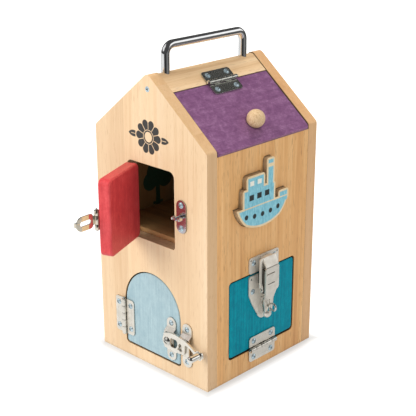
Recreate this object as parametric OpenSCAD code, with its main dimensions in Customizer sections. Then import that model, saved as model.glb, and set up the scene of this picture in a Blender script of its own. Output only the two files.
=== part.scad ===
// Toy latch lock box: a wooden house with a lid in the roof, a red door, a blue
// arched door, a teal flap and a lift-out shape, each behind its own fastening.
// The origin is the centre of the base. The front faces -Y, the flap side +X.

/* [House] */
// Width across the front
house_w = 152; // [150:0.5:156]
// Depth from the front face to the back face
house_d = 156.6; // [154:0.2:160]
// Height of the eaves above the base
eave_h = 238.5; // [236:0.5:242]
// Slope of the roof in degrees
roof_pitch = 39.3; // [38.5:0.1:40]
// Thickness of every board
board_t = 13; // [12.8:0.1:13.4]
// Height of the shelf's upper face
shelf_top = 140.8; // [140:0.2:141]
// Radius along the ridge
ridge_r = 6; // [4:0.2:7]

/* [Doors] */
// Thickness of the three doors
door_t = 12.5; // [12:0.1:12.7]
// Softening of the door edges
door_edge_r = 2; // [1.8:0.1:2.2]
// Angle at which the red door stands open
red_open = 68; // [0:1:90]
// Angle of the hasp leaf away from its closed line
hasp_open = 20; // [18:1:60]
// Radius of the arched opening
arch_r = 40; // [39.5:0.1:40.5]

/* [Hinges] */
// Length of each hinge
hinge_len = 39; // [38:0.5:40]
// Reach of a hinge leaf from the pin line
hinge_leaf_w = 13.5; // [13:0.1:14]
// Thickness of the plates
plate_t = 1.2; // [1:0.1:1.3]
// Radius of a hinge pin
pin_r = 1.25; // [1.2:0.05:1.25]
// Running clearance around pins
fit = 0.05; // [0.03:0.01:0.06]

/* [Handle] */
// Diameter of the handle bar
bar_d = 8; // [7.5:0.1:8.4]
// Distance between the two legs
handle_span = 106.6; // [100:0.2:108]
// Height of the top of the handle
handle_top = 328; // [324:0.5:332]
// Radius of the bends at the middle of the bar
bend_r = 9; // [8:0.5:12]

/* [Lift-out shape] */
// Thickness of the shape
shape_t = 13; // [12:0.5:14]
// Depth of its recess
recess_d = 8; // [7:0.5:9]
// Gap around it in its recess
shape_gap = 0.6; // [0.4:0.1:1]

/* [Hidden] */
$fn = 64;
hw = house_w/2;
hd = house_d/2;
inx = hw - board_t;             // inner face of the sides
iny = hd - board_t;             // inner face of the front and back
p = roof_pitch;
apex = eave_h + hw*tan(p);      // where the two slopes would meet
slope_len = hw/cos(p);
seat_h = eave_h - 4.3;          // top of the sides, where the roof boards sit
strip_s = 25.5;                 // ridge beam, measured down the slope
lid_s = 26.5;                   // upper edge of the lid
pin_off = 2.4;                  // height of a hinge pin above the face
red_x = -30.8;                  // pin line of the red door
red_w = 62; red_h = 75.7; red_z = 174.75; red_gap = 0.8;
red_y = -hd - pin_off;
hasp_u = 61.6; hasp_z = 173; slot_s = 12.7; hasp_r = 7.2;
blue_w = 2*arch_r - 2.1;        // width of the arched door
teal_z = 22.5;                  // pin line of the flap
teal_h = 80.9; teal_w = 95.8;
shape_y = -6.5; shape_z = 186;
lev = [28, 41];                 // pivot of the finger lever
nib = [45.6, 36.3];             // nib that the lever drops over
keep_x = 49.6;
tog_a = [107, 7];               // height and stand-off of the toggle's pivot
tog_b = [88, 7.8];              // the same of the claw's pivot
eye_z = 68.3;

// ---------- places ----------
// local x to the right along the face, y up the face, z out of it
module front_at(x, z) translate([x, -hd, z]) rotate([90, 0, 0]) children();
module back_at(x, z) translate([x, hd, z]) rotate([90, 0, 180]) children();
module right_at(y, z) translate([hw, y, z]) rotate([90, 0, 90]) children();
module roof_at(s, y) translate([s*cos(p), y, apex - s*sin(p)])
  rotate([0, p - 90, 0]) rotate([90, 0, 90]) children();
// hinges: local x along the pin, y towards the fixed leaf
module lid_hinge_at() roof_at(lid_s - 0.6, 0) children();
module teal_hinge_at() right_at(0, teal_z) rotate([0, 0, 180]) children();
module blue_hinge_at() front_at(-arch_r, 43.5) rotate([0, 0, 90]) children();
module red_hinge_at() front_at(red_x, red_z) rotate([0, 0, 90]) children();
// the red door stands open, and its hasp stands off the door
module red_turn() translate([red_x, red_y, 0]) rotate([0, 0, -red_open])
  translate([-red_x, -red_y, 0]) children();
module hasp_turn() red_turn() translate([red_x + hasp_u, red_y, 0]) rotate([0, 0, -hasp_open])
  translate([-red_x - hasp_u, -red_y, 0]) children();

// ---------- shapes ----------
module rrect(w, h, r) {
  square([w - 2*r, h], center = true);
  square([w, h - 2*r], center = true);
  for (x = [-1, 1], y = [-1, 1]) translate([x*(w/2 - r), y*(h/2 - r)]) circle(r);
}
module plate(w, h, r, t) linear_extrude(t) rrect(w, h, r);
// round disc with softened rims, thickness t below z = 0
module puck(r, t, e) rotate_extrude() {
  translate([0, -t]) square([r - e, t]);
  translate([0, e - t]) square([r, t - 2*e]);
  for (z = [-e, e - t]) translate([r - e, z]) circle(e, $fn = 48);
}
// board with round corners rc and softened edges e, outer face at z = 0
module soft_board(w, h, t, rc, e) {
  rotate([90, 0, 90]) translate([0, -t/2, -(w/2 - rc)])
    linear_extrude(w - 2*rc) rrect(h, t, e);
  rotate([90, 0, 0]) translate([0, -t/2, -(h/2 - rc)])
    linear_extrude(h - 2*rc) rrect(w, t, e);
  for (x = [-1, 1], y = [-1, 1]) translate([x*(w/2 - rc), y*(h/2 - rc), 0]) puck(rc, t, e);
}
// pan-head wood screw: head on z = 0, shank of length l below it
module wood_screw(l) difference() {
  union() {
    rotate_extrude() intersection() {
      translate([0, -2.15]) circle(3.75);
      translate([0, 0]) square([3, 3]);
    }
    translate([0, 0, 2.5 - l]) cylinder(r = 1.4, h = l - 2.5);
    translate([0, 0, -l]) cylinder(r1 = 0.25, r2 = 1.4, h = 2.5);
  }
  for (a = [45, 135]) rotate([0, 0, a]) translate([-1.7, -0.42, 0.75]) cube([3.4, 0.84, 2]);
}
module screw_hole(l) translate([0, 0, -l - 0.3]) cylinder(r = 1.45, h = l + 1);
// the four places of a hinge's screws: side 1 is the fixed leaf
module hinge_spots(side) for (x = [-13, 13]) translate([x, side*8.7, 0]) children();

// ---------- hinges ----------
module leaf(side, knuckles) {
  k = hinge_len/5;
  difference() {
    union() {
      linear_extrude(plate_t) scale([1, side]) {
        translate([-hinge_len/2, 2.9]) square([hinge_len, hinge_leaf_w - 2.9 - 3.2]);
        translate([-hinge_len/2 + 3.2, 2.9]) square([hinge_len - 6.4, hinge_leaf_w - 2.9]);
        for (x = [-1, 1]) translate([x*(hinge_len/2 - 3.2), hinge_leaf_w - 3.2]) circle(3.2);
        for (i = knuckles) translate([-hinge_len/2 + i*k + 0.15, 0]) square([k - 0.3, 3.2]);
      }
      for (i = knuckles) translate([-hinge_len/2 + i*k + 0.15, 0, pin_off])
        rotate([0, 90, 0]) cylinder(r = pin_off - 0.1, h = k - 0.3);
    }
    translate([-hinge_len, 0, pin_off]) rotate([0, 90, 0]) cylinder(r = pin_r + fit, h = 2*hinge_len);
    hinge_spots(side) translate([0, 0, -1]) cylinder(r = 1.6, h = 4);
  }
}
module frame_leaf() leaf(1, [0, 2, 4]);
module door_leaf() leaf(-1, [1, 3]);
module hinge_pin() translate([0, 0, pin_off]) rotate([0, 90, 0]) {
  translate([0, 0, -hinge_len/2 - 1]) cylinder(r = pin_r, h = hinge_len + 2.4);
  translate([0, 0, hinge_len/2 + 1.4]) cylinder(r1 = pin_r, r2 = 0.7, h = 0.8);
  translate([0, 0, -hinge_len/2 - 1.4]) cylinder(r1 = 0.8, r2 = pin_r, h = 0.4);
}

// ---------- wooden case ----------
module gable_2d() {
  // the gables stand 1 mm above the roof boards
  er = 5;
  ez = eave_h + 1 - er*(1 - sin(p))/cos(p);
  rz = apex + 1 - ridge_r/cos(p);
  polygon([[-hw, 0], [hw, 0], [hw, ez], [hw - er + er*sin(p), ez + er*cos(p)],
    [ridge_r*sin(p), rz + ridge_r*cos(p)], [-ridge_r*sin(p), rz + ridge_r*cos(p)],
    [-hw + er - er*sin(p), ez + er*cos(p)], [-hw, ez]]);
  for (s = [-1, 1]) translate([s*(hw - er), ez]) circle(er);
  translate([0, rz]) circle(ridge_r);
}
module red_opening() {
  x0 = red_x - 0.7; x1 = 33.6; z0 = 136; z1 = 213.5;
  translate([(x0 + x1)/2, (z0 + z1)/2 - 5]) rrect(x1 - x0, z1 - z0 - 10, 3);
  translate([(x0 + x1)/2, (z0 + z1)/2 + 5]) rrect(x1 - x0, z1 - z0 - 10, 6.5);
}
module blue_opening() {
  translate([0, 62]) circle(arch_r, $fn = 96);
  translate([0, (62 + 13.4)/2]) rrect(2*arch_r, 62 - 13.4, 4);
  translate([-arch_r, 40]) square([2*arch_r, 22]);
}
module front_panel() color("burlywood") difference() {
  translate([0, -iny, 0]) rotate([90, 0, 0]) linear_extrude(board_t) gable_2d();
  translate([0, -iny + 1, 0]) rotate([90, 0, 0]) linear_extrude(board_t + 2) red_opening();
  translate([0, -iny + 1, 0]) rotate([90, 0, 0]) linear_extrude(board_t + 2) blue_opening();
  blue_hinge_at() hinge_spots(1) screw_hole(9);
  red_hinge_at() hinge_spots(1) screw_hole(9);
  knob_plate_spots() screw_hole(9);
  keeper_spots() screw_hole(9);
  front_at(0, 286.6) gable_screw_hole();
}
module back_panel() color("burlywood") difference() {
  translate([0, hd, 0]) rotate([90, 0, 0]) linear_extrude(board_t) gable_2d();
  back_at(0, 286.6) gable_screw_hole();
}
module left_side_panel() color("burlywood")
  translate([-hw, -iny, 0]) cube([board_t, 2*iny, seat_h]);
module right_side_panel() color("peru") difference() {
  translate([inx, -iny, 0]) cube([board_t, 2*iny, seat_h]);
  right_at(0, (21.8 + 105.3)/2) translate([0, 0, -board_t - 1])
    linear_extrude(board_t + 2) rrect(97.6, 105.3 - 21.8, 4);
  right_at(shape_y, shape_z) translate([0, 0, -recess_d]) linear_extrude(recess_d + 1) boat_2d(shape_gap);
  teal_hinge_at() hinge_spots(1) screw_hole(9);
  strike_spots() screw_hole(9);
}
module base_panel() color("burlywood")
  translate([-inx, -iny, 0]) cube([2*inx, 2*iny, board_t]);
module middle_shelf() color("burlywood")
  translate([-inx, -iny, shelf_top - board_t]) cube([2*inx, 2*iny, board_t]);
// board lying on the slope from s0 down to the eaves, seated on the side
module roof_board_2d(s0) {
  ix = (apex - board_t/cos(p) - seat_h)/tan(p);
  polygon([[s0*cos(p), apex - s0*sin(p)], [hw, eave_h], [hw, seat_h], [ix, seat_h],
    [s0*cos(p) - board_t*sin(p), apex - s0*sin(p) - board_t*cos(p)]]);
}
// the lid's lower edge is cut square and overhangs the side a little
module lid_board_2d(s0) {
  ix = (apex - board_t/cos(p) - seat_h)/tan(p);
  polygon([[s0*cos(p), apex - s0*sin(p)], [hw + 1.9, eave_h - 1.9*tan(p)], [hw - 0.3, seat_h], [ix, seat_h],
    [s0*cos(p) - board_t*sin(p), apex - s0*sin(p) - board_t*cos(p)]]);
}
module left_roof_panel() color("burlywood")
  translate([0, iny, 0]) rotate([90, 0, 0]) linear_extrude(2*iny)
    scale([-1, 1]) roof_board_2d(strip_s);
module ridge_beam() color("burlywood") difference() {
  rz = apex - ridge_r/cos(p);
  bx = strip_s*cos(p) - board_t*sin(p);
  bz = apex - strip_s*sin(p) - board_t*cos(p);
  translate([0, iny, 0]) rotate([90, 0, 0]) linear_extrude(2*iny) {
    polygon([[strip_s*cos(p), apex - strip_s*sin(p)], [ridge_r*sin(p), rz + ridge_r*cos(p)],
      [-ridge_r*sin(p), rz + ridge_r*cos(p)], [-strip_s*cos(p), apex - strip_s*sin(p)],
      [-bx, bz], [bx, bz]]);
    translate([0, rz]) circle(ridge_r);
  }
  handle_legs() {
    translate([0, 0, 270]) cylinder(r = 2.15, h = 30);
    translate([0, 0, 296]) cylinder(r = bar_d/2 + 0.05, h = 10);
  }
  lid_hinge_at() hinge_spots(1) screw_hole(9);
  for (s = [-1, 1]) translate([0, s*iny, 286.6]) rotate([90, 0, 0]) cylinder(r = 1.45, h = 16, center = true);
}
module gable_screw_hole() {
  translate([0, 0, -2.0]) cylinder(r1 = 1.5, r2 = 2.8, h = 2.0);
  translate([0, 0, -board_t - 1]) cylinder(r = 1.5, h = board_t + 2);
}
module gable_screw() difference() {
  union() {
    translate([0, 0, -1.9]) cylinder(r1 = 1.4, r2 = 2.7, h = 1.9);
    translate([0, 0, -18]) cylinder(r = 1.4, h = 17);
    translate([0, 0, -20]) cylinder(r1 = 0.3, r2 = 1.4, h = 2);
  }
  for (a = [20, 110]) rotate([0, 0, a]) translate([-1.6, -0.45, -0.9]) cube([3.2, 0.9, 2]);
}
module gable_screws() color("silver") {
  front_at(0, 286.6) gable_screw();
  back_at(0, 286.6) gable_screw();
}
module blue_door_stop() color("burlywood")
  translate([34, -iny, 58]) cube([14, 8, 34]);
module teal_door_stop() color("burlywood")
  translate([inx - 8, -16, 99]) cube([8, 32, 14]);

// ---------- carrying handle ----------
module handle_legs() for (s = [-1, 1]) translate([0, s*handle_span/2 - 1.4, 0]) children();
module carry_handle() color("gainsboro") difference() {
  r = bar_d/2;
  top = handle_top - r;
  union() {
    handle_legs() translate([0, 0, 296]) cylinder(r = r, h = top - bend_r - 296);
    translate([0, -1.4, top]) rotate([90, 0, 0])
      cylinder(r = r, h = handle_span - 2*bend_r, center = true);
    translate([0, handle_span/2 - 1.4 - bend_r, top - bend_r]) rotate([90, 0, 90])
      rotate_extrude(angle = 90) translate([bend_r, 0]) circle(r);
    translate([0, -handle_span/2 - 1.4 + bend_r, top - bend_r]) rotate([90, 0, 90])
      rotate([0, 0, 90]) rotate_extrude(angle = 90) translate([bend_r, 0]) circle(r);
  }
  handle_legs() translate([0, 0, 295]) cylinder(r = 2, h = 14);
}
module handle_screws() color("silver") handle_legs() {
  bz = apex - strip_s*sin(p) - board_t*cos(p);
  difference() {
    union() {
      translate([0, 0, bz - 2.6]) cylinder(r1 = 3, r2 = 3.8, h = 2.6);
      translate([0, 0, bz]) cylinder(r = 1.95, h = 306 - bz);
    }
    for (a = [45, 135]) translate([0, 0, bz - 2.6]) rotate([0, 0, a])
      translate([-2, -0.45, -1]) cube([4, 0.9, 2.3]);
  }
}

// ---------- roof lid ----------
module roof_lid() color("mediumpurple") difference() {
  translate([0, iny - 1, 0]) rotate([90, 0, 0]) linear_extrude(2*iny - 2) lid_board_2d(lid_s);
  lid_hinge_at() hinge_spots(-1) screw_hole(9);
  roof_at(78.4, 0) translate([0, 0, -board_t - 1]) cylinder(r = 1.5, h = board_t + 2);
  // round corners at the eaves
  for (s = [-1, 1]) difference() {
    translate([hw - 1.6, s*(iny - 4.5) + (s > 0 ? 0 : -4.5), 220]) cube([4.5, 4.5, 40]);
    translate([hw - 1.6, s*(iny - 4.5), 219]) cylinder(r = 3.5, h = 42);
  }
}
module lid_knob() color("wheat") roof_at(78.4, 0) difference() {
  rotate_extrude() difference() {
    translate([0, 5.8]) circle(8.9);
    translate([-20, -20]) square([20, 60]);
    translate([0, -20]) square([20, 20]);
  }
  translate([0, 0, -1]) cylinder(r = 1.45, h = 9);
}
module lid_knob_screw() color("silver") roof_at(78.4, 0) translate([0, 0, -board_t])
  rotate([180, 0, 0]) wood_screw(20);
module lid_screws() color("silver") lid_hinge_at() hinge_spots(-1)
  translate([0, 0, plate_t]) wood_screw(9.5);
module lid_hinge_frame_leaf() color("lightgray") lid_hinge_at() frame_leaf();
module lid_hinge_lid_leaf() color("lightgray") lid_hinge_at() door_leaf();
module lid_hinge_pin() color("silver") lid_hinge_at() hinge_pin();

// ---------- red door, hasp and turn knob ----------
module red_door() color("crimson") red_turn() difference() {
  front_at(red_x + red_gap + red_w/2, red_z) soft_board(red_w, red_h, door_t, 6, door_edge_r);
  red_hinge_at() hinge_spots(-1) screw_hole(9);
  hasp_spots() screw_hole(8);
}
module red_hinge_frame_leaf() color("lightgray") red_hinge_at() frame_leaf();
module red_hinge_door_leaf() color("lightgray") red_turn() red_hinge_at() door_leaf();
module red_hinge_pin() color("silver") red_hinge_at() hinge_pin();
module hasp_spots() for (s = [-1, 1]) front_at(red_x + hasp_u - 10, hasp_z + s*5.2) children();
module red_door_screws() color("silver") red_turn() {
  red_hinge_at() hinge_spots(-1) translate([0, 0, plate_t]) wood_screw(9.5);
  hasp_spots() translate([0, 0, plate_t]) wood_screw(8.5);
}
// local x along the hasp, y up, z out of the door, pin at x = 0
module hasp_at() front_at(red_x + hasp_u, hasp_z) children();
module hasp_barrel(y0, y1, r) translate([0, y0, pin_off]) rotate([-90, 0, 0]) cylinder(r = r, h = y1 - y0);
module hasp_base() color("lightgray") red_turn() hasp_at() difference() {
  union() {
    linear_extrude(plate_t) {
      translate([-11.2, 0]) rrect(12.6, 19, 3);
      for (s = [-1, 1]) translate([-8, s*7 - 2.5]) square([8, 5]);
    }
    for (s = [-1, 1]) hasp_barrel(s*7 - 2.5, s*7 + 2.5, pin_off - 0.1);
  }
  hasp_barrel(-20, 20, 1.2 + fit);
  for (s = [-1, 1]) translate([-10, s*5.2, -1]) cylinder(r = 1.6, h = 4);
}
module hasp_pin() color("silver") red_turn() hasp_at() {
  hasp_barrel(-10.6, 10.6, 1.2);
  translate([0, 10.6, pin_off]) rotate([-90, 0, 0]) cylinder(r1 = 1.2, r2 = 0.6, h = 0.7);
}
module hasp_leaf() color("lightgray") hasp_turn() hasp_at() difference() {
  union() {
    hasp_barrel(-4.2, 4.2, pin_off - 0.1);
    translate([0, 0, pin_off + 2.3 - plate_t]) linear_extrude(plate_t) {
      translate([0, -4.2]) square([4, 8.4]);
      polygon([[3, -4.2], [4.6, -6.6], [6.6, -hasp_r], [16.6, -hasp_r], [16.6, hasp_r],
        [6.6, hasp_r], [4.6, 6.6], [3, 4.2]]);
      translate([16.6, 0]) circle(hasp_r);
    }
    translate([22.4, -2.2, pin_off + 2.3 - plate_t]) cube([1.6, 4.4, 3.2]);
  }
  hasp_barrel(-20, 20, 1.2 + fit);
  translate([slot_s, 0, 0]) linear_extrude(9) rrect(13, 4.6, 2.29);
}
module knob_plate_spots() for (s = [-1, 1]) front_at(43.5, hasp_z + s*11.4) children();
module turn_knob_plate() color("lightgray") front_at(43.5, hasp_z) difference() {
  union() {
    plate(12.5, 32.5, 6.2, plate_t);
    cylinder(r = 2, h = 4.95);
    cylinder(r = 1.3, h = 8.7);
    translate([0, 0, 8.6]) cylinder(r1 = 2.0, r2 = 1.3, h = 0.8);
  }
  for (s = [-1, 1]) translate([0, s*11.4, -1]) cylinder(r = 1.6, h = 4);
}
module turn_knob() color("silver") front_at(43.5, hasp_z) difference() {
  union() {
    translate([0, 0, 5.05]) cylinder(r = 2.1, h = 3.45);
    translate([0, 0, 5.05]) linear_extrude(3.45) {
      square([8.6, 2.6], center = true);
      for (s = [-1, 1]) translate([s*3.9, 0]) circle(1.75);
    }
    for (s = [-1, 1]) translate([s*4.35, 0, 8.4]) rotate([90, 0, 0])
      translate([0, 0, -1.1]) cylinder(r = 1.3, h = 2.2);
  }
  cylinder(r = 1.3 + fit, h = 20);
  translate([0, 0, 8.5]) cylinder(r = 2.15, h = 3);
}

// ---------- blue door and finger lever ----------
module blue_door() color("lightblue") difference() {
  zb = 14.5;
  e = door_edge_r;
  union() {
    front_at(0, 62) puck(blue_w/2, door_t, e);
    front_at(0, 0) {
      rotate([90, 0, 0]) translate([0, -door_t/2, -62])
        linear_extrude(62 - zb - 4) rrect(blue_w, door_t, e);
      translate([0, zb + 15, 0]) rotate([90, 0, 90]) translate([0, -door_t/2, -(blue_w/2 - 4)])
        linear_extrude(blue_w - 8) rrect(30, door_t, e);
      for (x = [-1, 1]) translate([x*(blue_w/2 - 4), zb + 4, 0]) puck(4, door_t, e - 0.05);
    }
  }
  blue_hinge_at() hinge_spots(-1) screw_hole(9);
  lever_spots() screw_hole(9);
}
module blue_hinge_frame_leaf() color("lightgray") blue_hinge_at() frame_leaf();
module blue_hinge_door_leaf() color("lightgray") blue_hinge_at() door_leaf();
module blue_hinge_pin() color("silver") blue_hinge_at() hinge_pin();
module lever_spots() for (z = [-17.4, 17.4]) front_at(lev[0], lev[1] + z) children();
module keeper_spots() for (z = [-17.4, 17.4]) front_at(keep_x, lev[1] + z) children();
module blue_door_screws() color("silver") {
  blue_hinge_at() hinge_spots(-1) translate([0, 0, plate_t]) wood_screw(9.5);
  lever_spots() translate([0, 0, plate_t]) wood_screw(9.5);
}
// pressed plate with a raised bridge in its middle, centred on the origin
module bridge_plate() difference() {
  intersection() {
    rotate([90, 0, 90]) translate([0, 0, -10]) linear_extrude(20)
      polygon([[-24, 0], [-13, 0], [-9.5, 4], [9.5, 4], [13, 0], [24, 0],
        [24, plate_t], [12.5, plate_t], [9, 4 + plate_t], [-9, 4 + plate_t],
        [-12.5, plate_t], [-24, plate_t]]);
    linear_extrude(10) rrect(12.5, 46.5, 6.2);
  }
  for (z = [-17.4, 17.4]) translate([0, z, -1]) cylinder(r = 1.6, h = 4);
}
module lever_plate() color("lightgray") front_at(lev[0], lev[1]) difference() {
  bridge_plate();
  translate([0, 0, 2]) cylinder(r = 2.02, h = 5);
}
module lever_rivet() color("silver") front_at(lev[0], lev[1]) difference() {
  union() {
    translate([0, 0, 2.9]) cylinder(r = 3.2, h = 1.1);
    translate([0, 0, 3.9]) cylinder(r = 2, h = 4);
    translate([0, 0, 7.7]) rotate_extrude() intersection() {
      translate([0, -2.6]) circle(5.1);
      square([4.3, 4]);
    }
  }
  rotate([0, 0, -35]) translate([-5, -0.5, 9.4]) cube([10, 1, 2]);
}
module latch_lever() color("lightgray") front_at(0, 0) translate([0, 0, 5.5]) difference() {
  n = nib - lev;
  rn = norm(n);
  an = atan2(n[1], n[0]);
  union() {
    translate([30.4, 41.6, 0]) cylinder(r = 8.5, h = 2);
    linear_extrude(2) polygon([[23, 43.6], [23.3, 48.8], [31.8, 51.3], [40.1, 51.6],
      [47, 50.8], [53.8, 49.6], [60.5, 46.2], [66, 43.2], [70, 44.4], [73, 37.4],
      [66.6, 38.4], [61.5, 42.4], [57, 44.8], [53.6, 45.2], [52.3, 43.8], [51.8, 35.6], [50.2, 33.6],
      [47, 33.6], [40, 32.6], [31, 33.9]]);
    translate([71, 40.5, 0]) cylinder(r = 4.9, h = 2);
  }
  translate([0, 0, -1]) linear_extrude(4) polygon([[32.9, 38.2], [34.1, 36.9], [39.4, 36.9],
    [41.4, 39], [42.5, 41.4], [42.4, 44.8], [41, 46.3], [34.1, 46.3], [32.9, 45]]);
  // mouth that drops over the nib, and the arc that the nib runs along
  translate([nib[0], nib[1], -1]) cylinder(r = 3.25, h = 4);
  translate([nib[0] - 3.25, 20, -1]) cube([6.5, nib[1] - 20, 4]);
  translate([lev[0], lev[1], -1]) intersection() {
    difference() {
      cylinder(r = rn + 2, h = 4);
      translate([0, 0, -1]) cylinder(r = rn - 2, h = 6);
    }
    linear_extrude(4) polygon([[0, 0], 30*[cos(an), sin(an)], 30*[cos(3.5), sin(3.5)]]);
  }
  translate([lev[0] + rn*cos(3.4), lev[1] + rn*sin(3.4), -1]) cylinder(r = 2.05, h = 4);
  translate([lev[0], lev[1], -1]) cylinder(r = 2 + fit, h = 4);
  translate([71, 40.5, -1]) cylinder(r = 2.3, h = 4);
}
module lever_knob() color("silver") front_at(71, 40.5) {
  translate([0, 0, 3.7]) cylinder(r = 2.9, h = 0.5);
  translate([0, 0, 4.2]) cylinder(r = 3.4, h = 1.3);
  translate([0, 0, 5.4]) cylinder(r = 2.3, h = 2.2);
  translate([0, 0, 7.5]) cylinder(r = 3.5, h = 10.7);
  translate([0, 0, 18.2]) rotate_extrude() intersection() {
    scale([1, 0.8]) circle(3.5);
    square([4, 4]);
  }
}
module lever_keeper() color("lightgray") front_at(keep_x, lev[1]) {
  bridge_plate();
  translate([nib[0] - keep_x, nib[1] - lev[1], 0]) {
    translate([0, 0, 4.6]) cylinder(r = 1.5, h = 3.2);
    translate([0, 0, 7.7]) cylinder(r1 = 2.6, r2 = 2.0, h = 1.2);
  }
}

// ---------- teal flap and toggle latch ----------
module teal_door() color("teal") difference() {
  right_at(0, teal_z + 0.75 + teal_h/2) soft_board(teal_w, teal_h, door_t, 4.2, door_edge_r);
  teal_hinge_at() hinge_spots(-1) screw_hole(9);
  toggle_spots() screw_hole(9);
}
module teal_hinge_frame_leaf() color("lightgray") teal_hinge_at() frame_leaf();
module teal_hinge_door_leaf() color("lightgray") teal_hinge_at() door_leaf();
module teal_hinge_pin() color("silver") teal_hinge_at() hinge_pin();
module toggle_spots() for (q = [[-15.6, 86], [15.6, 86]]) right_at(q[0], q[1]) children();
module teal_door_screws() color("silver") {
  teal_hinge_at() hinge_spots(-1) translate([0, 0, plate_t]) wood_screw(9.5);
  toggle_spots() translate([0, 0, plate_t]) wood_screw(9.5);
}
module strike_spots() for (s = [-1, 1]) right_at(0.8 + s*15.4, 116.2) children();
module toggle_base() color("lightgray") right_at(0, 0) difference() {
  union() {
    linear_extrude(plate_t) {
      polygon([[-21, 101], [-19.4, 102.8], [19.4, 102.8], [21, 101], [21, 83], [16, 72],
        [9, 60.6], [-9, 60.6], [-16, 72], [-21, 83]]);
      translate([0, 61.6]) circle(8.4);
    }
    // side cheeks that carry the pivot rod
    for (s = [-1, 1]) translate([s*7.9, 0, 0]) rotate([90, 0, 90]) translate([0, 0, -0.5])
      linear_extrude(1) polygon([[93, 0], [102.8, 0], [102.8, 2.6], [108.6, 4.2], [110, 6.2],
        [109.6, 8.8], [107.6, 9.8], [105, 9.4], [94, 5]]);
    // pressed rib towards the tip
    translate([-3.4, 0, 0]) intersection() {
      translate([0, 58, 0]) cube([6.8, 18, 1.9]);
      translate([3.4, 76, 0.7]) rotate([90, 0, 0]) cylinder(r = 3.4, h = 18);
    }
  }
  for (q = [[-15.6, 86], [15.6, 86]]) translate([q[0], q[1], -1]) cylinder(r = 1.6, h = 4);
  for (s = [-1, 1]) translate([s*17.6, 99.2, -1]) cylinder(r = 1.1, h = 4);
  translate([0, eye_z, -1]) cylinder(r = 2.3 + fit, h = 6);
  translate([0, tog_a[0], tog_a[1]]) rotate([0, 90, 0]) cylinder(r = 1.5, h = 19, center = true);
}
module toggle_pivot_pin() color("silver") right_at(0, tog_a[0]) translate([0, 0, tog_a[1]])
  rotate([0, 90, 0]) cylinder(r = 1.5, h = 19.9, center = true);
module toggle_lever() color("lightgray") right_at(0, 0) difference() {
  union() {
    intersection() {
      // side view: flat cover, bent in towards the tail
      rotate([90, 0, 90]) translate([0, 0, -15]) linear_extrude(30)
        polygon([[111.5, 11.8], [89, 11.8], [75.5, 7.5], [62.4, 7.5], [62.4, 8.7], [75.2, 8.7],
          [88.6, 13], [111.5, 13]]);
      linear_extrude(14) polygon([[-8.6, 111.5], [-9.8, 110.3], [-9.8, 89], [-7.8, 84.5],
        [-6.8, 72], [-5.2, 61], [5.2, 61], [6.8, 72], [7.8, 84.5], [9.8, 89], [9.8, 110.3],
        [8.6, 111.5]]);
    }
    // spoon-shaped tip
    translate([0, 59.8, 5.9]) intersection() {
      difference() { sphere(5); sphere(3.9); }
      translate([-9, -9, 0.4]) cube([18, 12.2, 8]);
    }
    // side walls that turn on the pivot rod
    for (s = [-1, 1]) translate([s*9.3, 0, 0]) rotate([90, 0, 90]) translate([0, 0, -0.5])
      linear_extrude(1) polygon([[107.8, 13], [110.6, 9], [110.4, 5.6], [108.5, 3.4],
        [105.2, 3.4], [100, 5], [90, 5.4], [86.4, 6], [84.9, 8], [84.7, 10.6], [85.2, 11.7],
        [88.6, 13]]);
  }
  // lines cut across the cover
  translate([-8.6, 104.5, 10]) cube([12, 1, 5]);
  translate([-6.6, 94, 10]) cube([10, 1, 5]);
  translate([0, tog_a[0], tog_a[1]]) rotate([0, 90, 0]) cylinder(r = 1.5 + fit, h = 30, center = true);
  translate([0, tog_b[0], tog_b[1]]) rotate([0, 90, 0]) cylinder(r = 1.2, h = 40, center = true);
  translate([0, 68.9, 0]) linear_extrude(14) rrect(3.8, 13.4, 1.85);
}
module claw_rivets() color("silver") for (s = [-1, 1])
  right_at(0, tog_b[0]) translate([s*8.7, 0, tog_b[1]]) rotate([0, s*90, 0]) {
    cylinder(r = 1.2, h = 2.8);
    translate([0, 0, 2.6]) cylinder(r1 = 2.1, r2 = 1.4, h = 0.7);
  }
// claw: two flat straps outside the cover, joined at the top by a hooked bridge
// whose plate slopes up to the end of the cover
module toggle_claw() color("silver") right_at(0, 0) difference() {
  union() {
    translate([0, 0, 7.2]) linear_extrude(1.2) polygon([[-13.4, 118.6], [-13.4, 120.4],
      [-12.2, 121.6], [12.2, 121.6], [13.4, 120.4], [13.4, 118.6]]);
    translate([-5.5, 120.4, 4.6]) cube([11, 1.2, 3]);
    rotate([90, 0, 90]) translate([0, 0, -9]) linear_extrude(18)
      polygon([[112.1, 11.7], [112.1, 12.9], [113.2, 12.9], [121.4, 8.4], [120, 7.2], [118.8, 7.2], [112.9, 11.4]]);
    for (s = [-1, 1]) {
      translate([s*11.85 - 1.55, 91.4, 7.2]) cube([3.1, 28, 1.2]);
      translate([s*10.8, 0, 0]) rotate([90, 0, 90]) translate([0, 0, -0.5]) linear_extrude(1) {
        translate([tog_b[0], tog_b[1]]) circle(2.4);
        polygon([[88, 5.4], [92, 6], [96, 7.4], [96, 8.2], [93, 9.6], [88, 10.2]]);
      }
    }
  }
  translate([0, tog_b[0], tog_b[1]]) rotate([0, 90, 0]) cylinder(r = 1.2 + fit, h = 40, center = true);
}
module toggle_strike() color("lightgray") right_at(0.8, 0) difference() {
  union() {
    translate([0, 113.8, 0]) linear_extrude(plate_t) rrect(43.4, 16.6, 2.6);
    translate([-6.3, 118.8, 0]) cube([11, 1.25, 4.3]);
  }
  for (s = [-1, 1]) {
    translate([s*15.4, 116.2, -1]) cylinder(r = 1.6, h = 4);
    translate([s*19.3, 119.4, -1]) cylinder(r = 0.9, h = 4);
  }
}
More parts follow.
